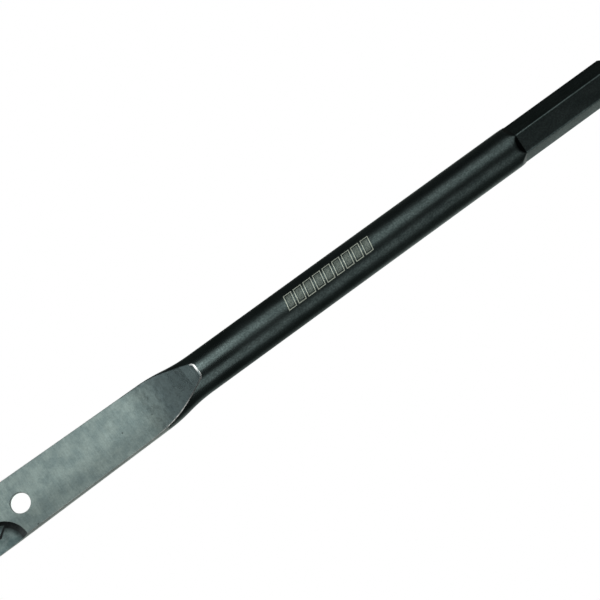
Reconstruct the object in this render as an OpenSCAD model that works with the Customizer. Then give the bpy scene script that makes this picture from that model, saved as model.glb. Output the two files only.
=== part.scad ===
// Flat wood bit with a 1/4 inch hex quick-change shank, forged in one piece.
// The bit lies along +X: the shank end face is at x = 0 and the centre point is at the far end.
// The blade lies flat in the XY plane. Each node below is one zone of the same forging,
// cut off square to the axis, so that neighbouring zones meet face to face.

/* [Overall] */
// Length from the shank end face to the tip of the centre point
total_length = 152; // [145:0.5:165]
// Diameter of the round shaft
shaft_d = 7.5; // [7.5:0.05:8]

/* [Hex shank] */
// Hex size across the flats
hex_af = 6.35; // [6.2:0.01:6.4]
// Length of the hex flats, before they run out into the round shaft
hex_length = 31.95; // [26:0.05:36]
// Turn of the hex about the axis, from the blade's face
hex_turn = 22; // [0:1:59]
// Slope of the ramps at the end of the flats
hex_runout_angle = 25; // [20:1:45]
// Diameter of the flat left inside the chamfer on the shank end face
end_face_d = 5.4; // [4.8:0.1:5.8]
// Angle of the end chamfer from the axis
end_chamfer_angle = 40; // [30:1:60]
// Distance from the shank end face to the middle of the retaining groove
groove_middle = 8.5; // [8:0.1:12]
// Diameter at the bottom of the retaining groove
groove_floor_d = 4.8; // [4.6:0.1:5.4]
// Radius of the groove's round bottom
groove_bottom_r = 2.5; // [2:0.1:3]
// Angle of the groove's flanks from the axis
groove_flank_angle = 32; // [28:1:40]

/* [Neck] */
// Distance from the tip back to the start of the ground facets
facet_from_tip = 52.25; // [50:0.25:58]
// Radius of the short curved step that a facet starts with
facet_lip_r = 1; // [0.6:0.1:1.4]
// Slope of that step where it leaves the round shaft
facet_lip_angle = 45; // [30:1:55]
// Slope of the ground facets
facet_angle = 13; // [11:0.5:16]
// Radius where a facet curves into the flat of the blade
facet_blend_r = 18; // [10:1:24]
// Length of the flare from the shaft's width to the blade's, from the start of the facets
flare_length = 10.2; // [8:0.1:11]

/* [Blade] */
// Thickness of the blade
blade_t = 1.9; // [1.8:0.1:2.6]
// Width of the blade at the end of the neck
blade_root_w = 9.25; // [8.75:0.25:9.5]
// Width of the blade where its sides begin to open toward the land
blade_waist_w = 9.6; // [9.5:0.1:10]
// Distance from the tip back to that station
waist_from_tip = 29; // [26:1:32]
// Width of the land at the working end, a little over the 10 mm size of the hole it drills
blade_tip_w = 10.1; // [10:0.1:10.4]
// Length of the land behind the lips, where both sides are parallel
land_length = 5; // [3:0.5:6]
// Diameter of the hanging hole
hole_d = 3.5; // [3:0.1:4]
// Distance from the tip back to the hanging hole
hole_from_tip = 15.5; // [15:0.25:17]

/* [Cutting head] */
// Length of the centre point beyond the lips
point_length = 6.75; // [6:0.25:7]
// Width of the centre point at the lips
point_base_w = 5; // [4:0.1:5.4]
// Relief behind the cutting edge of the lips and of the point
relief_angle = 14; // [10:1:18]
// Forward lean of the lips, so that the outer corners cut first
lip_lean = 4; // [0:1:6]
// Distance from the tip back to the centre of the gullets
gullet_from_tip = 8.85; // [8:0.05:9.5]
// Radius of the gullets at the blade's face
gullet_r = 4.88; // [4.4:0.02:4.9]
// Width of the steep wall around a gullet
gullet_wall_w = 1; // [0.5:0.02:1.1]
// Depth of a gullet at the foot of its wall
gullet_wall_depth = 0.52; // [0.3:0.02:0.6]
// Depth of a gullet at its centre
gullet_depth = 0.85; // [0.7:0.05:0.95]
// Depth of the web shelf that is left beside the centre line
web_depth = 0.34; // [0.2:0.02:0.44]
// Distance from the tip back to the rear corner of the web shelf
web_from_tip = 11.15; // [10.5:0.05:11.5]
// Distance of that corner from the centre line
web_corner_y = 1.5; // [1:0.1:2]
// Turn of the web shelf's rear edge from the axis
web_angle = 32; // [20:1:40]

/* [Hidden] */

black_oxide = "#23282a";
ground_steel = "#87918d";
facets = 96;        // segments of a full circle in a preview
reach = 20;         // half size of the tools that cut the forging, past every surface of it
face_z = blade_t / 2;
shaft_r = shaft_d / 2;

// Stations along the axis
hex_runout = (shaft_r - hex_af / 2) / tan(hex_runout_angle);
hex_end = hex_length + hex_runout + 0.25;
facet_start = total_length - facet_from_tip;
lip_run = facet_lip_r * (sin(facet_lip_angle) - sin(facet_angle));
lip_drop = facet_lip_r * (cos(facet_angle) - cos(facet_lip_angle));
blend_run = facet_blend_r * sin(facet_angle);
blend_rise = facet_blend_r * (1 - cos(facet_angle));
ramp_run = (shaft_r - lip_drop - face_z - blend_rise) / tan(facet_angle);
neck_end = facet_start + lip_run + ramp_run + blend_run;
flare_end = facet_start + flare_length;
hole_x = total_length - hole_from_tip;
head_start = hole_x + hole_d / 2 + 0.5;
lip_x = total_length - point_length;
thin_start = lip_x + 1.6;
gullet_x = total_length - gullet_from_tip;
gullet_y = blade_tip_w / 2 - 0.1;

// The flare is an ogee of two equal arcs
flare_rise = (blade_root_w - shaft_d) / 2;
ogee_r = (pow(flare_length / 2, 2) + pow(flare_rise / 2, 2)) / flare_rise;
ogee_angle = asin(flare_length / 2 / ogee_r);
ogee_steps = 10;
function flare_foot(i) = let (a = ogee_angle * i / ogee_steps)
    [facet_start + ogee_r * sin(a), shaft_r + ogee_r * (1 - cos(a))];
function flare_crest(i) = let (a = ogee_angle * (ogee_steps - i) / ogee_steps)
    [flare_end - ogee_r * sin(a), blade_root_w / 2 - ogee_r * (1 - cos(a))];

// The retaining groove: straight flanks and a round bottom
groove_floor_r = groove_floor_d / 2;
arc_half = groove_bottom_r * sin(groove_flank_angle);
arc_rise = groove_bottom_r * (1 - cos(groove_flank_angle));
bar_r = shaft_r - 0.05;
groove_half = arc_half + (bar_r - groove_floor_r - arc_rise) / tan(groove_flank_angle);
groove_steps = 12;
function groove_bottom(i) = let (a = groove_flank_angle * (2 * i / groove_steps - 1))
    [groove_middle + groove_bottom_r * sin(a),
     groove_floor_r + groove_bottom_r * (1 - cos(a))];

// The hollow-ground floor of a gullet is part of a sphere
floor_r = gullet_r - gullet_wall_w;
floor_sag = gullet_depth - gullet_wall_depth;
floor_sphere_r = (pow(floor_r, 2) + pow(floor_sag, 2)) / (2 * floor_sag);
floor_steps = 10;
function floor_point(i) = let (rho = floor_r * i / floor_steps)
    [rho, -gullet_depth + floor_sphere_r - sqrt(pow(floor_sphere_r, 2) - pow(rho, 2))];

// A solid turned about the X axis from a list of [x, radius] points
module turned(points) {
    rotate([0, 90, 0])
        rotate_extrude($fn = facets)
            polygon([[0, points[0][0]],
                     for (p = points) [p[1], p[0]],
                     [0, points[len(points) - 1][0]]]);
}

// A side outline in the XZ plane, extruded across the bit
module side_outline(points) {
    rotate([90, 0, 0])
        linear_extrude(height = 2 * reach, center = true)
            polygon(points);
}

// The second of two equal features is the first one turned half a turn about the axis
module both_sides() {
    for (turn = [0, 180])
        rotate([turn, 0, 0])
            children();
}

// Round bar that the hexagon is cut from. It is a touch thinner than the shaft, still outside the
// hexagon's corners, and tapers up to the shaft where the flats run out.
module hex_bar() {
    groove = [for (i = [0:groove_steps]) groove_bottom(i)];
    end_face_r = end_face_d / 2;
    turned(concat([[0, end_face_r],
                   [(bar_r - end_face_r) / tan(end_chamfer_angle), bar_r],
                   [groove_middle - groove_half, bar_r]],
                  groove,
                  [[groove_middle + groove_half, bar_r],
                   [hex_length, bar_r],
                   [hex_end, shaft_r]]));
}

module flat_cutter() {
    rise = 2;
    side_outline([[-1, hex_af / 2],
                  [hex_length, hex_af / 2],
                  [hex_length + rise / tan(hex_runout_angle), hex_af / 2 + rise],
                  [-1, hex_af / 2 + rise]]);
}

// Round outline of the neck and blade, before the flats are ground
module blade_blank(from_x, to_x) {
    outline = concat([for (i = [0:ogee_steps]) flare_foot(i)],
                     [for (i = [1:ogee_steps]) flare_crest(i)],
                     [[total_length - waist_from_tip, blade_waist_w / 2],
                      [lip_x - land_length, blade_tip_w / 2],
                      [total_length, blade_tip_w / 2]]);
    intersection() {
        turned(outline);
        translate([from_x, -reach, -reach])
            cube([to_x - from_x, 2 * reach, 2 * reach]);
    }
}

// Side outline of the ground part: the facets curve into the flats of the blade, and the centre
// point is thinner toward its tip
module ground_outline() {
    lip_steps = 6;
    blend_steps = 10;
    tip_half = 0.1;
    lip_foot_x = facet_start + lip_run + facet_lip_r * sin(facet_angle);
    lip_foot_z = shaft_r - lip_drop - facet_lip_r * (1 - cos(facet_angle));
    upper = [[facet_start - 1, shaft_r + tan(facet_lip_angle)],
             for (i = [0:lip_steps])
                 let (a = facet_lip_angle + (facet_angle - facet_lip_angle) * i / lip_steps)
                 [lip_foot_x - facet_lip_r * sin(a),
                  lip_foot_z + facet_lip_r * (1 - cos(a))],
             for (i = [0:blend_steps]) let (a = facet_angle * (1 - i / blend_steps))
                 [neck_end - facet_blend_r * sin(a),
                  face_z + facet_blend_r * (1 - cos(a))],
             [thin_start, face_z],
             [total_length, tip_half]];
    lower = [for (i = [len(upper) - 1:-1:0]) [upper[i][0], -upper[i][1]]];
    side_outline(concat(upper, lower));
}

// A block with one face on the line through [x, y] at the blade's face. It fills the left side
// of that line, and its face leans over by the relief angle below the line.
module relief_block(x, y, heading, lean) {
    translate([x, y, face_z])
        rotate([0, 0, heading])
            rotate([-lean, 0, 0])
                translate([-reach, 0, -reach])
                    cube([2 * reach, reach, 2 * reach]);
}

module gullet() {
    difference() {
        translate([gullet_x, gullet_y, face_z])
            rotate_extrude($fn = facets)
                polygon([for (i = [0:floor_steps]) floor_point(i),
                         [gullet_r, 0], [gullet_r, 1], [0, 1]]);
        web_shelf();
    }
}

// Metal left beside the centre line, with steep sides toward the gullet
module web_shelf() {
    wall_lean = 45;
    corner_x = total_length - web_from_tip;
    shelf_z = face_z - web_depth;
    intersection() {
        translate([corner_x, web_corner_y, shelf_z])
            rotate([0, 0, web_angle])
                shelf_side(wall_lean);
        translate([corner_x, point_base_w / 2, shelf_z])
            shelf_side(wall_lean);
        translate([corner_x - reach, -reach, shelf_z - reach])
            cube([2 * reach, 2 * reach, reach]);
    }
}

// A block on the right side of the X axis, whose face leans outward below the XY plane
module shelf_side(lean) {
    rotate([lean, 0, 0])
        translate([-reach, -reach, -reach])
            cube([2 * reach, reach, 2 * reach]);
}

// What is ground away in front of one lip, beside the centre point. The point's side makes the
// angle at which both of its leaning sides meet on the axis at the tip.
module lip_clearance() {
    half_base = point_base_w / 2;
    lean_offset = face_z * tan(relief_angle);
    point_side_angle = acos(lean_offset / norm([half_base, point_length]))
        - atan(point_length / half_base);
    intersection() {
        relief_block(lip_x, blade_tip_w / 2, 270 - lip_lean, relief_angle);
        relief_block(lip_x, half_base, -point_side_angle, relief_angle);
    }
}

// Everything from the start of the facets to the tip, between two stations along the axis
module ground_zone(from_x, to_x) {
    difference() {
        intersection() {
            blade_blank(from_x, to_x);
            ground_outline();
        }
        both_sides()
            gullet();
        translate([hole_x, 0, -reach])
            cylinder(h = 2 * reach, d = hole_d, $fn = facets);
        both_sides()
            lip_clearance();
    }
}

module hex_shank() {
    color(black_oxide)
        difference() {
            hex_bar();
            for (side = [0:5])
                rotate([60 * side - hex_turn, 0, 0])
                    flat_cutter();
        }
}

module shaft() {
    color(black_oxide)
        turned([[hex_end, shaft_r], [facet_start, shaft_r]]);
}

module neck() {
    color(black_oxide)
        ground_zone(facet_start, neck_end);
}

module blade() {
    color(ground_steel)
        ground_zone(neck_end, head_start);
}

module cutting_head() {
    color(ground_steel)
        ground_zone(head_start, lip_x);
}

module centre_point() {
    color(ground_steel)
        ground_zone(lip_x, total_length);
}

hex_shank();
shaft();
neck();
blade();
cutting_head();
centre_point();
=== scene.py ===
import math

import bmesh
import bpy
import numpy as np
from mathutils import Matrix, Vector


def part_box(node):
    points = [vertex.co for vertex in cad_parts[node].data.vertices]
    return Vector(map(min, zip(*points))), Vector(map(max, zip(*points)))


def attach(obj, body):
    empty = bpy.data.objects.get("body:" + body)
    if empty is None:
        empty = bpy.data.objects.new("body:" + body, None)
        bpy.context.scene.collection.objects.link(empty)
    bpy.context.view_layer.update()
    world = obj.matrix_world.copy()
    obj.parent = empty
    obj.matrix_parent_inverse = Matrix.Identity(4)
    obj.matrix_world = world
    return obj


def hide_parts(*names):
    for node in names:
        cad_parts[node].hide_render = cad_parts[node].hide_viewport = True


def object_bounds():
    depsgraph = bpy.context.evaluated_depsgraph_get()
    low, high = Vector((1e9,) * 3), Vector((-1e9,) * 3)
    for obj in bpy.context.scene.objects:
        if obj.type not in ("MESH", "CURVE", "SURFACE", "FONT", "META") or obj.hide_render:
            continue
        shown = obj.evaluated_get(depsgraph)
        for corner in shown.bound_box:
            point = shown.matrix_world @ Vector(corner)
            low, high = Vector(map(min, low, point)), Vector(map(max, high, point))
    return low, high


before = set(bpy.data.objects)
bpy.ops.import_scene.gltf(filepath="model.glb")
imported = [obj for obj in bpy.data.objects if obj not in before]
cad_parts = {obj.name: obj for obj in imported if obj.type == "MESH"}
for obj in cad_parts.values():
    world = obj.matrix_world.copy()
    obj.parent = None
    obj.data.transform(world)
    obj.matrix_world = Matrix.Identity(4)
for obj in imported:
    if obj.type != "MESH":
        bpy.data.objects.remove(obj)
cad_low, cad_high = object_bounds()

# Sizes are in millimetres, and a mesh is scaled to metres when it is made. Lights, camera and
# floor are in metres.
MM = 0.001


# ---------------------------------------------------------------- sizes, as in part.scad

def low_x(node):
    """Where a CAD node begins along the bit, in millimetres."""
    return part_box(node)[0].x / MM


HEX_END = low_x("shaft")
FACET_START = low_x("neck")
NECK_END = low_x("blade")
HEAD_START = low_x("cutting_head")
LIP_X = low_x("centre_point")
TIP_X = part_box("centre_point")[1].x / MM

SHAFT_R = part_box("shaft")[1].z / MM
BAR_R = SHAFT_R - 0.05
HEX_FLAT = 6.35 / 2
HEX_LENGTH = 31.95
HEX_TURN = 22
RUNOUT_SLOPE = math.tan(math.radians(25))
END_FACE_R = 2.7
CHAMFER_SLOPE = math.tan(math.radians(40))

GROOVE_MIDDLE = 8.5
GROOVE_FLOOR_R = 2.4
GROOVE_BOTTOM_R = 2.5
GROOVE_FLANK = math.radians(32)

FACET_LIP_R = 1.0
FACET_LIP_ANGLE = math.radians(45)
FACET_ANGLE = math.radians(13)
FACET_BLEND_R = 18.0
FLARE_LENGTH = 10.2
OXIDE_LENGTH = 9.5
LIP_WEAR = 0.36
APEX_WEAR = 0.75

FACE_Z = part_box("blade")[1].z / MM
ROOT_R = 9.25 / 2
WAIST_R = 9.6 / 2
TIP_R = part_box("cutting_head")[1].y / MM
WAIST_X = TIP_X - 29
LAND_X = LIP_X - 5
HOLE_R = 1.75
HOLE_X = TIP_X - 15.5

POINT_HALF = 2.5
RELIEF = math.radians(14)
LIP_LEAN = math.radians(4)
THIN_START = LIP_X + 1.6
TIP_HALF = 0.1
GULLET_X = TIP_X - 8.85
GULLET_Y = TIP_R - 0.1
GULLET_R = 4.88
GULLET_WALL = 1.0
GULLET_WALL_DEPTH = 0.52
GULLET_DEPTH = 0.85
WEB_DEPTH = 0.34
WEB_X = TIP_X - 11.15
WEB_Y = 1.5
WEB_ANGLE = math.radians(32)
WEB_LEAN = math.radians(45)

# Kinds of surface, each the place of its material in the piece's list: on the blade, cutting head
# and point, and then on the neck
FLAT, ROUND_SIDE, CHAMFER, GULLET, WALL, BORE = range(6)
FACET, OXIDE, BARE_EDGE_LINE, GROUND_SIDE, LIP = range(5)


# ---------------------------------------------------------------- profiles along the bit

def groove_half():
    """Half the length of the retaining groove at the bar's surface."""
    rise = BAR_R - GROOVE_FLOOR_R - GROOVE_BOTTOM_R * (1 - math.cos(GROOVE_FLANK))
    return GROOVE_BOTTOM_R * math.sin(GROOVE_FLANK) + rise / math.tan(GROOVE_FLANK)


def bar_radius(x):
    """Radius of the round bar under the hexagon, with its end chamfer and retaining groove."""
    from_middle = abs(x - GROOVE_MIDDLE)
    arc_half = GROOVE_BOTTOM_R * math.sin(GROOVE_FLANK)
    if from_middle < arc_half:
        return GROOVE_FLOOR_R + GROOVE_BOTTOM_R - math.sqrt(GROOVE_BOTTOM_R ** 2 - from_middle ** 2)
    if from_middle < groove_half():
        return BAR_R - (groove_half() - from_middle) * math.tan(GROOVE_FLANK)
    if x > HEX_LENGTH:
        return BAR_R + (SHAFT_R - BAR_R) * (x - HEX_LENGTH) / (HEX_END - HEX_LENGTH)
    return min(BAR_R, END_FACE_R + x * CHAMFER_SLOPE)


def hex_radius(x, angle):
    """Radius of the hexagonal shank in one direction. The power mean rounds its edges a little."""
    sharpness = 80
    flat = HEX_FLAT + max(0, x - HEX_LENGTH) * RUNOUT_SLOPE
    total = (1 / bar_radius(x)) ** sharpness
    for side in range(6):
        facing = math.cos(angle - math.radians(60 * side - HEX_TURN))
        if facing > 0:
            total += (facing / flat) ** sharpness
    return total ** (-1 / sharpness)


def outline_radius(x):
    """Radius of the neck and blade before the flats are ground."""
    rise = ROOT_R - SHAFT_R
    ogee_r = ((FLARE_LENGTH / 2) ** 2 + (rise / 2) ** 2) / rise
    along = x - FACET_START
    if along < FLARE_LENGTH / 2:
        return SHAFT_R + ogee_r - math.sqrt(ogee_r ** 2 - along ** 2)
    if along < FLARE_LENGTH:
        return ROOT_R - ogee_r + math.sqrt(ogee_r ** 2 - (FLARE_LENGTH - along) ** 2)
    stations = (FACET_START + FLARE_LENGTH, WAIST_X, LAND_X, TIP_X)
    return float(np.interp(x, stations, (ROOT_R, WAIST_R, TIP_R, TIP_R)))


def half_thickness(x):
    """Half the thickness between the ground faces."""
    lip_run = FACET_LIP_R * (math.sin(FACET_LIP_ANGLE) - math.sin(FACET_ANGLE))
    lip_drop = FACET_LIP_R * (math.cos(FACET_ANGLE) - math.cos(FACET_LIP_ANGLE))
    blend_start = NECK_END - FACET_BLEND_R * math.sin(FACET_ANGLE)
    along = x - FACET_START
    if along < lip_run:
        foot = lip_run + FACET_LIP_R * math.sin(FACET_ANGLE)
        dip = FACET_LIP_R * (1 - math.cos(FACET_ANGLE))
        lip_z = SHAFT_R - lip_drop - dip
        return lip_z + FACET_LIP_R - math.sqrt(FACET_LIP_R ** 2 - (foot - along) ** 2)
    if x < blend_start:
        return SHAFT_R - lip_drop - (along - lip_run) * math.tan(FACET_ANGLE)
    if x < NECK_END:
        return FACE_Z + FACET_BLEND_R - math.sqrt(FACET_BLEND_R ** 2 - (NECK_END - x) ** 2)
    return float(np.interp(x, (THIN_START, TIP_X), (FACE_Z, TIP_HALF)))


# ---------------------------------------------------------------- mesh helpers

def new_piece(name, vertices, faces, kinds, materials):
    """An object from points in millimetres. kinds gives each face's place in the material list."""
    mesh = bpy.data.meshes.new(name)
    mesh.from_pydata([tuple(c * MM for c in v) for v in vertices], [], faces)
    for material in materials:
        mesh.materials.append(material)
    mesh.polygons.foreach_set("material_index", kinds)
    turn_faces_outward(mesh)
    piece = bpy.data.objects.new(name, mesh)
    bpy.context.scene.collection.objects.link(piece)
    return piece


def turn_faces_outward(mesh):
    """Makes the faces of a closed mesh face out."""
    work = bmesh.new()
    work.from_mesh(mesh)
    bmesh.ops.recalc_face_normals(work, faces=work.faces)
    work.to_mesh(mesh)
    work.free()


def smooth(piece, sharp_degrees):
    """Smooth shading that stays crisp over edges steeper than the given angle, and wherever two
    kinds of surface meet."""
    mesh = piece.data
    mesh.shade_smooth()
    mesh.set_sharp_from_angle(angle=math.radians(sharp_degrees))
    work = bmesh.new()
    work.from_mesh(mesh)
    for edge in work.edges:
        if len({face.material_index for face in edge.link_faces}) > 1:
            edge.smooth = False
    work.to_mesh(mesh)
    work.free()


def ring_at(x, angles, radii):
    """Points around the bit's axis at x, for angles from +Z toward -Y."""
    return [(x, -r * math.sin(a), r * math.cos(a)) for a, r in zip(angles, radii)]


def tube(rings, column_kinds, cap_kind=None):
    """Vertices, faces and face kinds of a closed tube through rings of equal length.
    column_kinds gives the kinds of one band of faces, or a list with those of every band. The ends
    are closed with faces of cap_kind, or joined to each other where that is None."""
    count = len(rings[0])
    band_count = len(rings) if cap_kind is None else len(rings) - 1
    bands = column_kinds if isinstance(column_kinds[0], list) else [column_kinds] * band_count
    vertices = [point for ring in rings for point in ring]
    faces = []
    kinds = []
    for i in range(band_count):
        a = i * count
        b = (i + 1) % len(rings) * count
        for j in range(count):
            k = (j + 1) % count
            faces.append((a + j, a + k, b + k, b + j))
            kinds.append(bands[i][j])
    if cap_kind is not None:
        last = (len(rings) - 1) * count
        faces.append(tuple(range(count)))
        faces.append(tuple(range(last, last + count)))
        kinds += [cap_kind, cap_kind]
    return vertices, faces, kinds


def flatted_section(radius, half, chamfer, arc_steps):
    """A round section with two flats and chamfered corners: points (y, z), and for each point the
    kind of surface that follows it."""
    least_flat = 0.55
    corner = math.asin(min(1, half / radius))
    width = radius * math.cos(corner)
    cut = min(chamfer, (1 - least_flat) * width)
    low = corner - cut / radius
    arc = [low * (1 - 2 * i / arc_steps) for i in range(arc_steps + 1)]
    points = [(width - cut, half), (cut - width, half)]
    points += [(-radius * math.cos(a), radius * math.sin(a)) for a in arc]
    points += [(cut - width, -half), (width - cut, -half)]
    points += [(radius * math.cos(a), -radius * math.sin(a)) for a in arc]
    one_half = [FLAT, CHAMFER] + [ROUND_SIDE] * arc_steps + [CHAMFER]
    return points, one_half * 2


def spun_tool(profile, centre, kinds):
    """A solid turned about a vertical axis through centre, from (radius, z) points that begin and
    end on that axis."""
    segments = 128
    vertices = [(centre[0], centre[1], profile[0][1]), (centre[0], centre[1], profile[-1][1])]
    rim = profile[1:-1]
    for r, z in rim:
        for s in range(segments):
            a = 2 * math.pi * s / segments
            vertices.append((centre[0] + r * math.cos(a), centre[1] + r * math.sin(a), z))
    faces = []
    face_kinds = []
    last = 2 + (len(rim) - 1) * segments
    for s in range(segments):
        t = (s + 1) % segments
        faces.append((0, 2 + s, 2 + t))
        for i in range(len(rim) - 1):
            a = 2 + i * segments
            b = a + segments
            faces.append((a + s, b + s, b + t, a + t))
        faces.append((last + s, 1, last + t))
        face_kinds += kinds
    return new_piece("tool", vertices, faces, face_kinds, BLADE_MATERIALS)


def block_tool(low, high, planes, level_kind, side_kind):
    """A box cut down to the side of each plane (point, direction) that the direction points to.
    Its level faces are of one kind and its sides of another."""
    work = bmesh.new()
    bmesh.ops.create_cube(work, size=1)
    for v in work.verts:
        v.co = [low[i] + (high[i] - low[i]) * (v.co[i] + 0.5) for i in range(3)]
    for point, direction in planes:
        everything = work.verts[:] + work.edges[:] + work.faces[:]
        cut = bmesh.ops.bisect_plane(
            work, geom=everything, plane_co=point, plane_no=direction, clear_inner=True)
        rim = [g for g in cut["geom_cut"] if isinstance(g, bmesh.types.BMEdge)]
        bmesh.ops.edgenet_fill(work, edges=rim)
    vertices = [tuple(v.co) for v in work.verts]
    work.verts.index_update()
    faces = [tuple(v.index for v in f.verts) for f in work.faces]
    work.normal_update()
    kinds = [level_kind if abs(f.normal.z) > 0.99 else side_kind for f in work.faces]
    work.free()
    return new_piece("tool", vertices, faces, kinds, BLADE_MATERIALS)


def half_turned(tool):
    """A copy of a tool, turned half a turn about the bit's axis."""
    copy = bpy.data.objects.new("tool", tool.data.copy())
    copy.data.transform(Matrix.Rotation(math.pi, 4, "X"))
    bpy.context.scene.collection.objects.link(copy)
    return copy


def cut_away(piece, tools):
    """Subtracts each tool from the piece, and removes the tools."""
    for tool in tools:
        modifier = piece.modifiers.new("cut", "BOOLEAN")
        modifier.operation = "DIFFERENCE"
        modifier.solver = "EXACT"
        modifier.object = tool
    bpy.context.view_layer.update()
    evaluated = piece.evaluated_get(bpy.context.evaluated_depsgraph_get())
    shape = bpy.data.meshes.new_from_object(evaluated)
    piece.modifiers.clear()
    piece.data = shape
    for tool in tools:
        bpy.data.objects.remove(tool)


# ---------------------------------------------------------------- node helpers

def new_material(name, metallic, roughness):
    """A material with one Principled shader: the material, its node tree and the shader."""
    material = bpy.data.materials.new(name)
    material.use_nodes = True
    tree = material.node_tree
    tree.nodes.clear()
    output = tree.nodes.new("ShaderNodeOutputMaterial")
    shader = tree.nodes.new("ShaderNodeBsdfPrincipled")
    shader.inputs["Metallic"].default_value = metallic
    shader.inputs["Roughness"].default_value = roughness
    tree.links.new(shader.outputs["BSDF"], output.inputs["Surface"])
    return material, tree, shader


def feed(tree, socket, value):
    """Links an output to a socket, or sets the socket to a plain value."""
    if isinstance(value, bpy.types.NodeSocket):
        tree.links.new(value, socket)
    else:
        socket.default_value = value


def position(tree, stretch=(1, 1, 1)):
    """The place on the object in millimetres, multiplied by stretch."""
    place = tree.nodes.new("ShaderNodeTexCoord")
    scaled = tree.nodes.new("ShaderNodeVectorMath")
    scaled.operation = "MULTIPLY"
    scaled.inputs[1].default_value = [s / MM for s in stretch]
    tree.links.new(place.outputs["Object"], scaled.inputs[0])
    return scaled.outputs[0]


def noise(tree, place, scale, detail=3, roughness=0.55):
    """Smooth noise from 0 to 1, about scale blotches to the millimetre."""
    node = tree.nodes.new("ShaderNodeTexNoise")
    node.inputs["Scale"].default_value = scale
    node.inputs["Detail"].default_value = detail
    node.inputs["Roughness"].default_value = roughness
    tree.links.new(place, node.inputs["Vector"])
    return node.outputs[0]


def remap(tree, value, from_low, from_high, to_low, to_high):
    """Moves one range of a number smoothly to another, and holds it at the ends."""
    node = tree.nodes.new("ShaderNodeMapRange")
    node.interpolation_type = "SMOOTHSTEP"
    feed(tree, node.inputs["Value"], value)
    node.inputs["From Min"].default_value = from_low
    node.inputs["From Max"].default_value = from_high
    node.inputs["To Min"].default_value = to_low
    node.inputs["To Max"].default_value = to_high
    return node.outputs["Result"]


def calculate(tree, operation, first, second=0.0):
    """One Math node."""
    node = tree.nodes.new("ShaderNodeMath")
    node.operation = operation
    feed(tree, node.inputs[0], first)
    feed(tree, node.inputs[1], second)
    return node.outputs[0]


def blend(tree, factor, first, second, mode="MIX"):
    """Mixes two colours."""
    node = tree.nodes.new("ShaderNodeMix")
    node.data_type = "RGBA"
    node.blend_type = mode
    feed(tree, node.inputs[0], factor)
    feed(tree, node.inputs[6], first)
    feed(tree, node.inputs[7], second)
    return node.outputs[2]


def relief(tree, height, depth_mm, strength, under=None):
    """A normal bumped by a height from 0 to 1, on top of another bumped normal if one is given."""
    node = tree.nodes.new("ShaderNodeBump")
    node.inputs["Strength"].default_value = strength
    node.inputs["Distance"].default_value = depth_mm * MM
    tree.links.new(height, node.inputs["Height"])
    if under is not None:
        tree.links.new(under, node.inputs["Normal"])
    return node.outputs["Normal"]


def axis_value(tree, axis):
    """One coordinate of the place on the object, in millimetres."""
    node = tree.nodes.new("ShaderNodeSeparateXYZ")
    tree.links.new(position(tree), node.inputs[0])
    return node.outputs[axis]


def distance_from(tree, axes, centre):
    """Distance in millimetres from a point, measured along two axes only."""
    squares = []
    for axis, middle in zip(axes, centre):
        offset = calculate(tree, "SUBTRACT", axis_value(tree, axis), middle)
        squares.append(calculate(tree, "MULTIPLY", offset, offset))
    return calculate(tree, "SQRT", calculate(tree, "ADD", squares[0], squares[1]))


def grey(tree, value):
    """A grey colour from one number."""
    node = tree.nodes.new("ShaderNodeCombineColor")
    for i in range(3):
        tree.links.new(value, node.inputs[i])
    return node.outputs[0]


def rgb(r, g, b):
    return (r, g, b, 1.0)


# ---------------------------------------------------------------- materials

def make_black_oxide():
    """Satin black heat-treatment scale, mottled and slightly grainy. It is smoother near the neck,
    and painted lighter there as a painted highlight, and painted dark on the hexagon's ramps."""
    material, tree, shader = new_material("black_oxide", 1.0, 0.34)
    place = position(tree)
    cloud = noise(tree, position(tree, (0.35, 1, 1)), 0.8, 4)
    grain = noise(tree, place, 3.2, 3, 0.6)
    fine = noise(tree, place, 9.0, 2, 0.6)
    along = axis_value(tree, 0)
    dark = rgb(0.082, 0.111, 0.108)
    light = rgb(0.117, 0.154, 0.149)
    colour = blend(tree, remap(tree, cloud, 0.30, 0.72, 0, 1), dark, light)
    tone = remap(tree, grain, 0.38, 0.66, 0.78, 1.18)
    # Painted highlight along the shaft: lighter toward the apex of the facets, darker beside them.
    tone = calculate(tree, "MULTIPLY", tone, painted_shading_along_shaft(tree, along))
    # Painted shade on the run-out ramps, and worn oxide on the edges of the hexagon.
    tone = calculate(tree, "MULTIPLY", tone, ramp_shade_and_wear(tree, along))
    feed(tree, shader.inputs["Base Color"], blend(tree, 1.0, colour, grey(tree, tone), "MULTIPLY"))
    near_neck = remap(tree, along, FACET_START - 12, FACET_START - 3, 0, 1)
    roughness = remap(tree, near_neck, 0, 1, 0.36, 0.27)
    roughness = calculate(tree, "ADD", roughness, remap(tree, grain, 0.3, 0.7, 0.04, -0.04))
    feed(tree, shader.inputs["Roughness"], roughness)
    coarse = relief(tree, cloud, 0.02, 0.5)
    feed(tree, shader.inputs["Normal"], relief(tree, fine, 0.006, 0.6, coarse))
    return material


def painted_shading_along_shaft(tree, along):
    """Painted light and shade along the shaft: the colour is painted lighter from the hexagon to
    the apex of the facets, where the highlights are brighter, and painted darker beside the facets."""
    apex = FACET_START
    tone = remap(tree, along, HEX_END + 12.5, HEX_END + 32.5, 0.73, 0.85)
    tone = calculate(tree, "ADD", tone, remap(tree, along, apex - 22, apex - 4, 0, 0.27))
    tone = calculate(tree, "ADD", tone, remap(tree, along, apex - 4, apex + 1, 0, 0.40))
    return calculate(tree, "ADD", tone, remap(tree, along, apex + 1, apex + 5, 0, -0.55))


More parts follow.
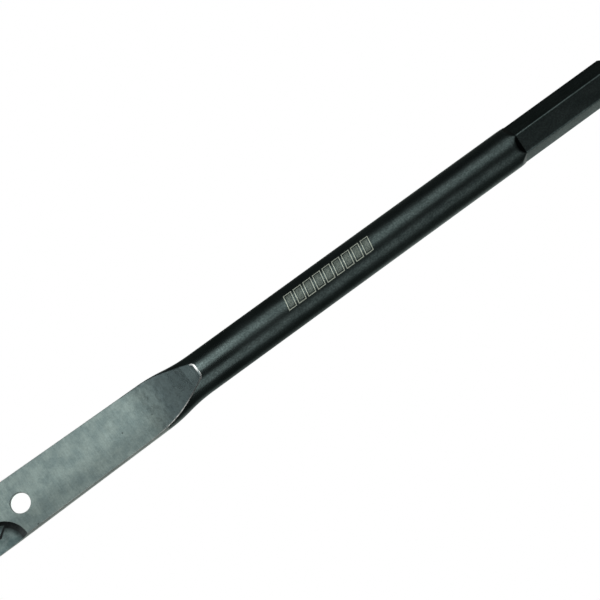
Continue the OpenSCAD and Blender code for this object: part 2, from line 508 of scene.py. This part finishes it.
def ramp_shade_and_wear(tree, along):
    """Painted shade on the run-out ramps, which lie below the round bar's surface, and lighter,
    worn oxide on the edges of the hexagon."""
    corner_r = HEX_FLAT / math.cos(math.radians(30))
    radius = distance_from(tree, (1, 2), (0, 0))
    past_hexagon = remap(tree, along, HEX_LENGTH - 0.1, HEX_LENGTH + 0.1, 0, 1)
    on_hexagon = calculate(tree, "SUBTRACT", 1.0, past_hexagon)
    # Painted shade: the ramps below the round bar's surface are coloured darker.
    scale = remap(tree, radius, BAR_R - 0.12, BAR_R - 0.02, 0.75, 0)
    worn = remap(tree, radius, corner_r - 0.136, corner_r - 0.066, 0, 0.9)
    painted_shade = calculate(tree, "MULTIPLY", past_hexagon, scale)
    lighter = calculate(tree, "MULTIPLY", on_hexagon, worn)
    return calculate(tree, "SUBTRACT", calculate(tree, "ADD", 1.0, lighter), painted_shade)


def ground_surface(name, dark, light, roughness, scratch_axis=1, shade=None, spread=None):
    """Ground steel with fine scratches along one axis, cloudy tone and a few dark pits. shade makes
    a factor for the tone from where on the object it is, and spread one for how uneven it is."""
    material, tree, shader = new_material(name, 1.0, roughness)
    uneven = spread(tree) if spread else 1.0
    stretch = [6.0, 6.0, 6.0]
    stretch[scratch_axis] = 0.35
    scratch = noise(tree, position(tree, stretch), 1.0, 4, 0.6)
    cloud = noise(tree, position(tree), 0.45, 4, 0.6)
    mottle = noise(tree, position(tree, (1, 0.6, 1)), 1.7, 3, 0.6)
    grain = noise(tree, position(tree), 3.4, 3, 0.65)
    cloudy = calculate(tree, "MULTIPLY", remap(tree, cloud, 0.32, 0.68, -0.5, 0.5), uneven)
    colour = blend(tree, calculate(tree, "ADD", 0.5, cloudy), dark, light)
    tone = remap(tree, scratch, 0.3, 0.7, -0.09, 0.09)
    tone = calculate(tree, "ADD", tone, remap(tree, mottle, 0.3, 0.7, -0.11, 0.10))
    tone = calculate(tree, "ADD", tone, remap(tree, grain, 0.3, 0.7, -0.11, 0.10))
    tone = calculate(tree, "ADD", 1.0, calculate(tree, "MULTIPLY", tone, uneven))
    tone = calculate(tree, "MULTIPLY", tone, pits(tree))
    if shade is not None:
        tone = calculate(tree, "MULTIPLY", tone, shade(tree))
    feed(tree, shader.inputs["Base Color"], blend(tree, 1.0, colour, grey(tree, tone), "MULTIPLY"))
    dulling = calculate(tree, "MULTIPLY", remap(tree, mottle, 0.3, 0.7, -0.05, 0.06), uneven)
    feed(tree, shader.inputs["Roughness"], calculate(tree, "ADD", dulling, roughness))
    height = calculate(tree, "MULTIPLY", scratch, uneven)
    feed(tree, shader.inputs["Normal"], relief(tree, height, 0.004, 0.35))
    return material, tree, shader


def pits(tree):
    """A factor that is low in a few small round spots and 1 elsewhere."""
    node = tree.nodes.new("ShaderNodeTexVoronoi")
    node.inputs["Scale"].default_value = 0.55
    node.inputs["Randomness"].default_value = 1.0
    tree.links.new(position(tree), node.inputs["Vector"])
    split = tree.nodes.new("ShaderNodeSeparateColor")
    tree.links.new(node.outputs["Color"], split.inputs[0])
    chosen = remap(tree, split.outputs[0], 0.62, 0.66, 0, 1)
    near = remap(tree, node.outputs["Distance"], 0.05, 0.13, 0.55, 0.0)
    depth = calculate(tree, "MULTIPLY", chosen, near)
    return calculate(tree, "SUBTRACT", 1.0, depth)


def painted_face_shade(tree):
    """Painted shade on the facets and the blade. The facets are painted darker toward the shaft,
    and most so at the -Y side of the apex, where the tip light falls. The blade is painted darker
    toward +Y."""
    apex = FACET_START
    along = axis_value(tree, 0)
    across = axis_value(tree, 1)
    # Painted shade along the facets, darkest near the shaft.
    tone = remap(tree, along, apex + 0.5, apex + 5.5, 0.48, 0.61)
    tone = calculate(tree, "ADD", tone, remap(tree, along, apex + 5.5, apex + 12.5, 0, 0.39))
    # Painted shade across the blade, darker toward +Y.
    to_shaded_side = remap(tree, across, -0.5, 3.2, -0.04, 0.24)
    on_blade = calculate(tree, "MULTIPLY", to_shaded_side, past_facets(tree))
    # Painted shade at the -Y side of the apex.
    near_apex = remap(tree, along, apex + 1.0, apex + 5.5, 1, 0)
    at_apex = calculate(tree, "MULTIPLY", near_apex, remap(tree, across, -1.6, 0.4, 0.23, 0))
    painted_shade = calculate(tree, "ADD", on_blade, at_apex)
    return calculate(tree, "MULTIPLY", tone, calculate(tree, "SUBTRACT", 1.0, painted_shade))


def face_spread(tree):
    """The facets are more even than the blade."""
    return remap(tree, axis_value(tree, 0), FACET_START + 5, FACET_START + 11, 0.4, 0.95)


def past_facets(tree):
    """0 on the ground facets, rising to 1 on the blade."""
    return remap(tree, axis_value(tree, 0), FACET_START + 6, FACET_START + 12, 0, 1)


def make_ground_steel():
    """Faces of the facets, blade and point. The facets are smoother, and their tint is cooler."""
    dark = rgb(0.200, 0.266, 0.259)
    light = rgb(0.288, 0.364, 0.342)
    # The tone of the faces carries painted shade: darker toward the shaft, at the apex and toward
    # +Y.
    material, tree, shader = ground_surface(
        "ground_steel", dark, light, 0.34, shade=painted_face_shade, spread=face_spread)
    colour = shader.inputs["Base Color"].links[0].from_socket
    tint = blend(tree, past_facets(tree), rgb(0.985, 1.02, 1.08), rgb(1, 1, 1))
    feed(tree, shader.inputs["Base Color"], blend(tree, 1.0, colour, tint, "MULTIPLY"))
    rough = shader.inputs["Roughness"].links[0].from_socket
    smoother = remap(tree, axis_value(tree, 0), FACET_START + 3, FACET_START + 10, -0.06, 0)
    feed(tree, shader.inputs["Roughness"], calculate(tree, "ADD", rough, smoother))
    return material


def make_side_steel():
    """Pale grey narrow side faces of the blade, scratched lengthwise."""
    dark = rgb(0.52, 0.56, 0.54)
    light = rgb(0.70, 0.74, 0.71)
    return ground_surface("side_steel", dark, light, 0.42, scratch_axis=0)[0]


def bright_steel(name, stretch, dark, light, rough, glossy, softness=0.15):
    """Bare steel, worn unevenly: darker and rougher in some spots, and lighter and glossier in
    others. A higher softness makes the change of tone between them more gradual."""
    material, tree, shader = new_material(name, 1.0, rough)
    wear = noise(tree, position(tree, stretch), 1.0, 3, 0.6)
    colour = blend(tree, remap(tree, wear, 0.5 - softness, 0.5 + softness, 0, 1), dark, light)
    feed(tree, shader.inputs["Base Color"], colour)
    feed(tree, shader.inputs["Roughness"], remap(tree, wear, 0.3, 0.7, rough, glossy))
    return material, tree, shader


def make_bare_edge():
    """Bright steel where the oxide has worn off an edge."""
    dark = rgb(0.45, 0.47, 0.45)
    light = rgb(0.85, 0.87, 0.85)
    return bright_steel("bare_edge", (2.5, 2.5, 2.5), dark, light, 0.36, 0.22)[0]


def painted_gullet_shade(tree):
    """Painted shade in a gullet: darkest toward its wall, and fading toward its middle."""
    middle = (GULLET_X, GULLET_Y)
    foot = GULLET_R - GULLET_WALL
    # Painted shade: the colour is darker toward the gullet's wall.
    return remap(tree, distance_from(tree, (0, 1), middle), foot - 1.1, foot + 0.1, 1.08, 0.24)


def make_lip_steel():
    """The rounded start of a facet: bright steel, with painted shade at both of its sides."""
    dark = rgb(0.80, 0.84, 0.82)
    light = rgb(0.96, 0.98, 0.96)
    material, tree, shader = bright_steel(
        "lip_steel", (2, 2, 2), dark, light, 0.34, 0.26, softness=0.2)
    bright = shader.inputs["Base Color"].links[0].from_socket
    across = axis_value(tree, 1)
    near_side = remap(tree, across, -0.5, 0.5, 0, 1)
    far_side = remap(tree, across, -1.9, -1.2, 1, 0)
    # Painted shade: the lip is coloured dark toward +Y and far toward -Y, where no light falls on
    # it.
    shaded_sides = calculate(tree, "MAXIMUM", near_side, far_side)
    feed(tree, shader.inputs["Base Color"], blend(tree, shaded_sides, bright, rgb(0.16, 0.20, 0.20)))
    return material


def make_bore_steel():
    """Bright inner part of the hanging hole's bore."""
    dark = rgb(0.84, 0.88, 0.87)
    light = rgb(0.97, 0.98, 0.97)
    return bright_steel("bore_steel", (1, 1, 8), dark, light, 0.28, 0.18)[0]


def make_gullet_steel():
    """Dark, coarsely ground hollow of a gullet, with painted shade that deepens toward its wall."""
    dark = rgb(0.12, 0.18, 0.18)
    light = rgb(0.25, 0.33, 0.32)
    return ground_surface("gullet_steel", dark, light, 0.40, scratch_axis=0, shade=painted_gullet_shade)[0]


def make_shade_painted_wall():
    """Steep cut walls, painted nearly black as their shade."""
    # Painted shade: the walls are coloured nearly black.
    dark = rgb(0.030, 0.036, 0.037)
    light = rgb(0.055, 0.064, 0.064)
    return ground_surface("shade_painted_wall", dark, light, 0.45, scratch_axis=0)[0]


def make_etch(name, dark, light):
    """Pale matt etching on the black shaft."""
    material, tree, shader = new_material(name, 0.55, 0.5)
    grain = noise(tree, position(tree), 5.0, 3, 0.6)
    colour = blend(tree, remap(tree, grain, 0.35, 0.65, 0, 1), dark, light)
    feed(tree, shader.inputs["Base Color"], colour)
    feed(tree, shader.inputs["Roughness"], remap(tree, grain, 0.3, 0.7, 0.58, 0.42))
    feed(tree, shader.inputs["Normal"], relief(tree, grain, 0.006, 0.6))
    return material


BLACK_OXIDE = make_black_oxide()
GROUND_STEEL = make_ground_steel()
LIP_STEEL = make_lip_steel()
SIDE_STEEL = make_side_steel()
BARE_EDGE = make_bare_edge()
BORE_STEEL = make_bore_steel()
GULLET_STEEL = make_gullet_steel()
SHADE_PAINTED_WALL = make_shade_painted_wall()
ETCH_LINE = make_etch("etch_line", rgb(0.66, 0.75, 0.62), rgb(0.90, 0.97, 0.82))
ETCH_FILL = make_etch("etch_fill", rgb(0.14, 0.18, 0.155), rgb(0.27, 0.32, 0.28))

# In the order of the kinds of surface
BLADE_MATERIALS = [GROUND_STEEL, SIDE_STEEL, SIDE_STEEL, GULLET_STEEL, SHADE_PAINTED_WALL, BORE_STEEL]
NECK_MATERIALS = [GROUND_STEEL, BLACK_OXIDE, BARE_EDGE, SIDE_STEEL, LIP_STEEL]


# ---------------------------------------------------------------- shank and shaft

def make_hex_shank():
    per_side = 32
    angles = []
    for side in range(6):
        for i in range(per_side):
            # u runs from -1 to 1 along a side of the hexagon, and the points crowd at its corners.
            u = 2 * i / per_side - 1
            angles.append(math.radians(60 * side - HEX_TURN + 30 * u * (1.5 - 0.5 * u * u)))
    chamfer_end = (BAR_R - END_FACE_R) / CHAMFER_SLOPE
    groove_start = GROOVE_MIDDLE - groove_half()
    groove_end = GROOVE_MIDDLE + groove_half()
    # Start, end and number of stations: chamfer, flats, groove, flats, run-out ramps
    spans = (
        (0.04, chamfer_end + 0.3, 22),
        (2.0, groove_start - 0.1, 5),
        (groove_start, groove_end, 57),
        (groove_end + 0.1, HEX_LENGTH - 0.1, 12),
        (HEX_LENGTH, HEX_END - 0.02, 30),
    )
    rings = [ring_at(0, angles, [0.97 * END_FACE_R] * len(angles))]
    for start, end, count in spans:
        for x in np.linspace(start, end, count):
            rings.append(ring_at(x, angles, [hex_radius(x, a) for a in angles]))
    rings.append(ring_at(HEX_END, angles, [SHAFT_R] * len(angles)))
    piece = new_piece("hex_shank_body", *tube(rings, [0] * len(angles), 0), [BLACK_OXIDE])
    smooth(piece, 50)
    return piece


def make_shaft():
    segments = 192
    angles = [2 * math.pi * s / segments for s in range(segments)]
    stations = np.linspace(HEX_END, FACET_START, 24)
    rings = [ring_at(x, angles, [SHAFT_R] * segments) for x in stations]
    piece = new_piece("shaft_body", *tube(rings, [0] * segments, 0), [BLACK_OXIDE])
    smooth(piece, 50)
    return piece


# ---------------------------------------------------------------- neck

def neck_band(x, arc_steps):
    """Kinds of surface around the neck at x. Each facet begins with a bright lip. The edge between
    facet and oxide is bare at +Y, as far as the oxide goes, and blends into the facet at -Y."""
    oxidised = x < FACET_START + OXIDE_LENGTH
    sides = [OXIDE if oxidised else GROUND_SIDE] * arc_steps
    near_edge = BARE_EDGE_LINE if oxidised else GROUND_SIDE
    far_edge = LIP if x < FACET_START + APEX_WEAR else FACET
    flat = LIP if x < FACET_START + LIP_WEAR else FACET
    return [flat, far_edge] + sides + [far_edge, flat, near_edge] + sides + [near_edge]


def worn_edge(x):
    """Width of the bare line between facet and oxide, which is broadest at the apex."""
    width = 0.10
    more_at_apex = 0.20
    length = 1.3
    return width + more_at_apex * max(0, 1 - (x - FACET_START) / length) ** 2


def make_neck():
    arc_steps = 56
    least_width = 0.02
    stations = [FACET_START]
    # Near its apex a facet widens with the square root of its length, so equal steps of its half
    # width keep the outline even.
    for half_width in np.linspace(least_width, 1.4, 24):
        stations.append(FACET_START + half_width ** 2 / (2 * SHAFT_R))
    stations += list(np.linspace(stations[-1] + 0.03, FACET_START + 0.6, 8))
    stations += list(np.linspace(FACET_START + 0.8, NECK_END, 64))
    rings = []
    for x in stations:
        radius = outline_radius(x)
        half = min(half_thickness(x), math.sqrt(radius ** 2 - least_width ** 2))
        section = flatted_section(radius, half, worn_edge(x), arc_steps)[0]
        rings.append([(x, y, z) for y, z in section])
    bands = [neck_band(x, arc_steps) for x in stations[:-1]]
    piece = new_piece("neck_body", *tube(rings, bands, FACET), NECK_MATERIALS)
    smooth(piece, 20)
    return piece


# ---------------------------------------------------------------- blade, head and point

def hole_tool():
    """The punched hanging hole: a shade-painted land at the top, and a bore that opens below it."""
    rim = 0.05
    beyond = 0.25
    land = 0.85
    opening = 0.16
    profile = [(0, -FACE_Z - beyond),
               (HOLE_R + opening + beyond, -FACE_Z - beyond),
               (HOLE_R + opening, rim - FACE_Z),
               (HOLE_R, FACE_Z - land),
               (HOLE_R, FACE_Z - rim),
               (HOLE_R + rim + beyond, FACE_Z + beyond),
               (0, FACE_Z + beyond)]
    # The land takes the wall kind, painted dark as shade.
    return spun_tool(profile, (HOLE_X, 0), [FLAT, FLAT, BORE, WALL, FLAT, FLAT])


def gullet_tool():
    """A hollow-ground gullet, less the web shelf that is left beside the centre line."""
    floor_r = GULLET_R - GULLET_WALL
    sag = GULLET_DEPTH - GULLET_WALL_DEPTH
    sphere_r = (floor_r ** 2 + sag ** 2) / (2 * sag)
    steps = 14
    beyond = 0.5
    profile = []
    for i in range(steps + 1):
        r = floor_r * i / steps
        profile.append((r, FACE_Z - GULLET_DEPTH + sphere_r - math.sqrt(sphere_r ** 2 - r ** 2)))
    profile += [(GULLET_R, FACE_Z), (GULLET_R + beyond, FACE_Z + beyond), (0, FACE_Z + beyond)]
    gullet = spun_tool(profile, (GULLET_X, GULLET_Y), [GULLET] * steps + [WALL] * 3)
    shelf_z = FACE_Z - WEB_DEPTH
    turned = Matrix.Rotation(WEB_ANGLE, 3, "Z")
    leaning = Vector((0, -math.cos(WEB_LEAN), -math.sin(WEB_LEAN)))
    planes = [((WEB_X, WEB_Y, shelf_z), turned @ leaning), ((WEB_X, POINT_HALF, shelf_z), leaning)]
    before, after, beside, below = 9, 14, 9, 5
    low = (WEB_X - before, -beside, shelf_z - below)
    high = (WEB_X + after, beside, shelf_z)
    cut_away(gullet, [block_tool(low, high, planes, GULLET, WALL)])
    return gullet


def relief_plane(x, y, heading):
    """Plane of a relieved edge: it passes through (x, y) at the blade's face and leans below it."""
    direction = Vector((0, math.cos(RELIEF), -math.sin(RELIEF)))
    return (x, y, FACE_Z), Matrix.Rotation(heading, 3, "Z") @ direction


def lip_tool():
    """What is ground away in front of one lip, beside the centre point."""
    length = TIP_X - LIP_X
    lean_offset = FACE_Z * math.tan(RELIEF)
    diagonal = math.hypot(POINT_HALF, length)
    side_angle = math.acos(lean_offset / diagonal) - math.atan(length / POINT_HALF)
    planes = [relief_plane(LIP_X, TIP_R, math.radians(270) - LIP_LEAN),
              relief_plane(LIP_X, POINT_HALF, -side_angle)]
    before, after, inward, outward, half_height = 2, 3, 2, 9, 3
    low = (LIP_X - before, -inward, -half_height)
    high = (TIP_X + after, outward, half_height)
    return block_tool(low, high, planes, FLAT, FLAT)


def plate(name, stations):
    """A closed length of the blade through the given stations, with lightly broken edges."""
    rings = []
    for x in stations:
        section, kinds = flatted_section(outline_radius(x), half_thickness(x), 0.06, 6)
        rings.append([(x, y, z) for y, z in section])
    return new_piece(name, *tube(rings, kinds, FLAT), BLADE_MATERIALS)


def ground_plate(name, stations):
    """A length of the blade with both gullets and both lips ground into it."""
    piece = plate(name, stations)
    gullet = gullet_tool()
    lip = lip_tool()
    cut_away(piece, [gullet, half_turned(gullet), lip, half_turned(lip)])
    smooth(piece, 25)
    return piece


def make_blade():
    piece = plate("blade_body", [NECK_END, WAIST_X, HEAD_START])
    gullet = gullet_tool()
    cut_away(piece, [hole_tool(), gullet, half_turned(gullet)])
    smooth(piece, 25)
    return piece


def make_cutting_head():
    return ground_plate("cutting_head_body", [HEAD_START, LAND_X, LIP_X])


def make_centre_point():
    return ground_plate("centre_point_body", [LIP_X, THIN_START, TIP_X])


# ---------------------------------------------------------------- etched mark

MARK_START = 63.2
MARK_END = 81.6
MARK_HEIGHT = 2.76
MARK_TURN = math.radians(-4)
MARK_BARS = 9
MARK_SLANT = 0.22
MARK_LINE = 0.15
MARK_GAP = 0.20
MARK_PROUD = 0.008
MARK_SUNK = 0.03
MARK_STEPS = 12


def on_shaft(x, v, height):
    """A point at x along the bit, v around the shaft and height above its surface. What lies
    further round is moved along the bit, so that the bars slant."""
    a = MARK_TURN + v / SHAFT_R
    radius = SHAFT_R + height
    return x + MARK_SLANT * v, radius * math.sin(a), radius * math.cos(a)


def rectangle(half_u, half_v):
    """Points around a rectangle, whose long sides are divided so that they can follow the shaft."""
    steps = [2 * i / MARK_STEPS - 1 for i in range(MARK_STEPS)]
    points = [(-half_u, -half_v), (0, -half_v)]
    points += [(half_u, half_v * step) for step in steps]
    points += [(half_u, half_v), (0, half_v)]
    return points + [(-half_u, -half_v * step) for step in steps]


def bar_outline(middle, half_u, half_v):
    """The thin frame around one bar: vertices, faces and kinds."""
    outer = rectangle(half_u, half_v)
    inner = rectangle(half_u - MARK_LINE, half_v - MARK_LINE)
    layers = ((outer, MARK_PROUD), (inner, MARK_PROUD), (inner, -MARK_SUNK), (outer, -MARK_SUNK))
    rings = [[on_shaft(middle + u, v, height) for u, v in points] for points, height in layers]
    return tube(rings, [0] * len(outer))


def bar_fill(middle, half_u, half_v):
    """The filled middle of one bar: vertices, faces and kinds."""
    corners = (
        (-half_u, MARK_PROUD), (half_u, MARK_PROUD), (half_u, -MARK_SUNK), (-half_u, -MARK_SUNK))
    rings = []
    for i in range(MARK_STEPS + 1):
        v = half_v * (2 * i / MARK_STEPS - 1)
        rings.append([on_shaft(middle + u, v, height) for u, height in corners])
    return tube(rings, [1] * 4, 1)


def make_mark():
    """A plain row of slanted, outlined bars."""
    pitch = (MARK_END - MARK_START) / (MARK_BARS + 0.1)
    half_u = 0.40 * pitch
    half_v = MARK_HEIGHT / 2
    inset = MARK_LINE + MARK_GAP
    vertices = []
    faces = []
    kinds = []
    for bar in range(MARK_BARS):
        middle = MARK_START + pitch * (bar + 0.55)
        outline = bar_outline(middle, half_u, half_v)
        fill = bar_fill(middle, half_u - inset, half_v - inset)
        for more_vertices, more_faces, more_kinds in (outline, fill):
            first = len(vertices)
            vertices += more_vertices
            faces += [tuple(first + i for i in face) for face in more_faces]
            kinds += more_kinds
    piece = new_piece("etched_mark", vertices, faces, kinds, [ETCH_LINE, ETCH_FILL])
    smooth(piece, 30)
    return piece


# ---------------------------------------------------------------- the pieces and their nodes

def place_pieces():
    made = (
        (make_hex_shank(), "hex_shank", "black_oxide"),
        (make_shaft(), "shaft", "black_oxide"),
        (make_neck(), "neck", "black_oxide"),
        (make_blade(), "blade", "ground_steel"),
        (make_cutting_head(), "cutting_head", "ground_steel"),
        (make_centre_point(), "centre_point", "ground_steel"),
        (make_mark(), "shaft", "black_oxide"),
    )
    for piece, node, slot in made:
        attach(piece, "root")
        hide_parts(node)


# ---------------------------------------------------------------- stage, lights and camera

def camera_switch(tree, seen, other):
    """One shader for what the camera sees, another for every other ray."""
    path = tree.nodes.new("ShaderNodeLightPath")
    mix = tree.nodes.new("ShaderNodeMixShader")
    tree.links.new(path.outputs["Is Camera Ray"], mix.inputs[0])
    tree.links.new(other, mix.inputs[1])
    tree.links.new(seen, mix.inputs[2])
    return mix.outputs[0]


def make_floor():
    """A plain white floor. What the steel reflects of it is brightest close under the bit, fades to
    the sides, and changes a little along the bit."""
    reach = 3.0
    mesh = bpy.data.meshes.new("floor")
    corners = [(-reach, -reach), (reach, -reach), (reach, reach), (-reach, reach)]
    mesh.from_pydata([(x, y, cad_low.z) for x, y in corners], [], [(0, 1, 2, 3)])
    material = bpy.data.materials.new("white_floor")
    material.use_nodes = True
    tree = material.node_tree
    tree.nodes.clear()
    output = tree.nodes.new("ShaderNodeOutputMaterial")
    seen = tree.nodes.new("ShaderNodeEmission")
    reflected = tree.nodes.new("ShaderNodeEmission")
    reflected.inputs["Color"].default_value = rgb(0.90, 1.0, 0.95)
    along = axis_value(tree, 0)
    beside = calculate(tree, "ABSOLUTE", axis_value(tree, 1))
    under = remap(tree, beside, 2.6, 4.4, 0.80, 0.0)
    around = remap(tree, beside, 5.0, 10.0, 0.38, 0.05)
    by_shaft = remap(tree, along, HEX_END + 11.5, FACET_START - 7.75, 1.6, 0.7)
    by_blade = remap(tree, along, FACET_START + 0.25, FACET_START + 12.25, 0, 0.5)
    around = calculate(tree, "MULTIPLY", around, calculate(tree, "ADD", by_shaft, by_blade))
    feed(tree, reflected.inputs["Strength"], calculate(tree, "ADD", under, around))
    surface = camera_switch(tree, seen.outputs[0], reflected.outputs[0])
    tree.links.new(surface, output.inputs["Surface"])
    mesh.materials.append(material)
    floor = bpy.data.objects.new("floor", mesh)
    bpy.context.scene.collection.objects.link(floor)


def make_world():
    """White behind everything that the camera sees, and nearly dark in reflections."""
    world = bpy.data.worlds.new("studio")
    bpy.context.scene.world = world
    world.use_nodes = True
    tree = world.node_tree
    tree.nodes.clear()
    output = tree.nodes.new("ShaderNodeOutputWorld")
    seen = tree.nodes.new("ShaderNodeBackground")
    reflected = tree.nodes.new("ShaderNodeBackground")
    seen.inputs["Color"].default_value = rgb(1, 1, 1)
    reflected.inputs["Color"].default_value = rgb(1, 1, 1)
    reflected.inputs["Strength"].default_value = 0.03
    surface = camera_switch(tree, seen.outputs[0], reflected.outputs[0])
    tree.links.new(surface, output.inputs["Surface"])


def area_light(name, target, axes, distance, size_x, size_y, radiance):
    """A soft rectangular light that faces the target. axes are its own x, y and z directions, and
    it stands at the distance along z."""
    light = bpy.data.lights.new(name, "AREA")
    light.shape = "RECTANGLE"
    light.size = size_x
    light.size_y = size_y
    light.energy = radiance * math.pi * size_x * size_y
    lamp = bpy.data.objects.new(name, light)
    place = Vector(target) + axes[2] * distance
    lamp.matrix_world = Matrix.Translation(place) @ Matrix(axes).transposed().to_4x4()
    lamp.visible_camera = False
    bpy.context.scene.collection.objects.link(lamp)


def softbox(name, degrees, width, radiance):
    """A long soft light parallel to the bit, degrees from straight above toward +Y."""
    a = math.radians(degrees)
    along = Vector((1, 0, 0))
    outward = Vector((0, math.sin(a), math.cos(a)))
    axes = (along, outward.cross(along), outward)
    area_light(name, (0.030, 0, 0), axes, 0.30, 0.35, width, radiance)


def tip_light():
    """A soft light beyond the tip, aimed at the start of the facets."""
    outward = Vector((0.778, -0.380, 0.500)).normalized()
    sideways = Vector((0, 0, 1)).cross(outward).normalized()
    axes = (sideways, outward.cross(sideways), outward)
    area_light("tip_end", (FACET_START * MM, 0, 0), axes, 0.30, 0.24, 0.26, 1.5)


def make_camera():
    """The camera leans from straight above the blade's face toward +X and +Y, and is rolled so
    that the bit crosses the picture."""
    lean_x = math.radians(6.52)
    lean_y = math.radians(13.10)
    roll = math.radians(35.981)
    distance = 0.25
    target = Vector((0.07863, -0.00018, 0))
    outward = Vector((
        math.sin(lean_x),
        math.sin(lean_y) * math.cos(lean_x),
        math.cos(lean_y) * math.cos(lean_x)))
    along = (Vector((1, 0, 0)) - outward * outward.x).normalized()
    across = outward.cross(along)
    right = across * math.sin(roll) - along * math.cos(roll)
    up = -along * math.sin(roll) - across * math.cos(roll)
    data = bpy.data.cameras.new("camera")
    data.lens = 87.6
    data.sensor_width = 36
    data.clip_start = 0.01
    data.clip_end = 20
    camera = bpy.data.objects.new("camera", data)
    axes = Matrix((right, up, outward)).transposed()
    camera.matrix_world = Matrix.Translation(target + outward * distance) @ axes.to_4x4()
    bpy.context.scene.collection.objects.link(camera)
    bpy.context.scene.camera = camera


make_camera()
place_pieces()
make_floor()
make_world()
softbox("key", degrees=-17, width=0.19, radiance=1.18)
softbox("key_edge", degrees=-41, width=0.06, radiance=0.5)
softbox("fill", degrees=58, width=0.21, radiance=0.57)
tip_light()
bpy.context.scene.view_settings.view_transform = "Standard"
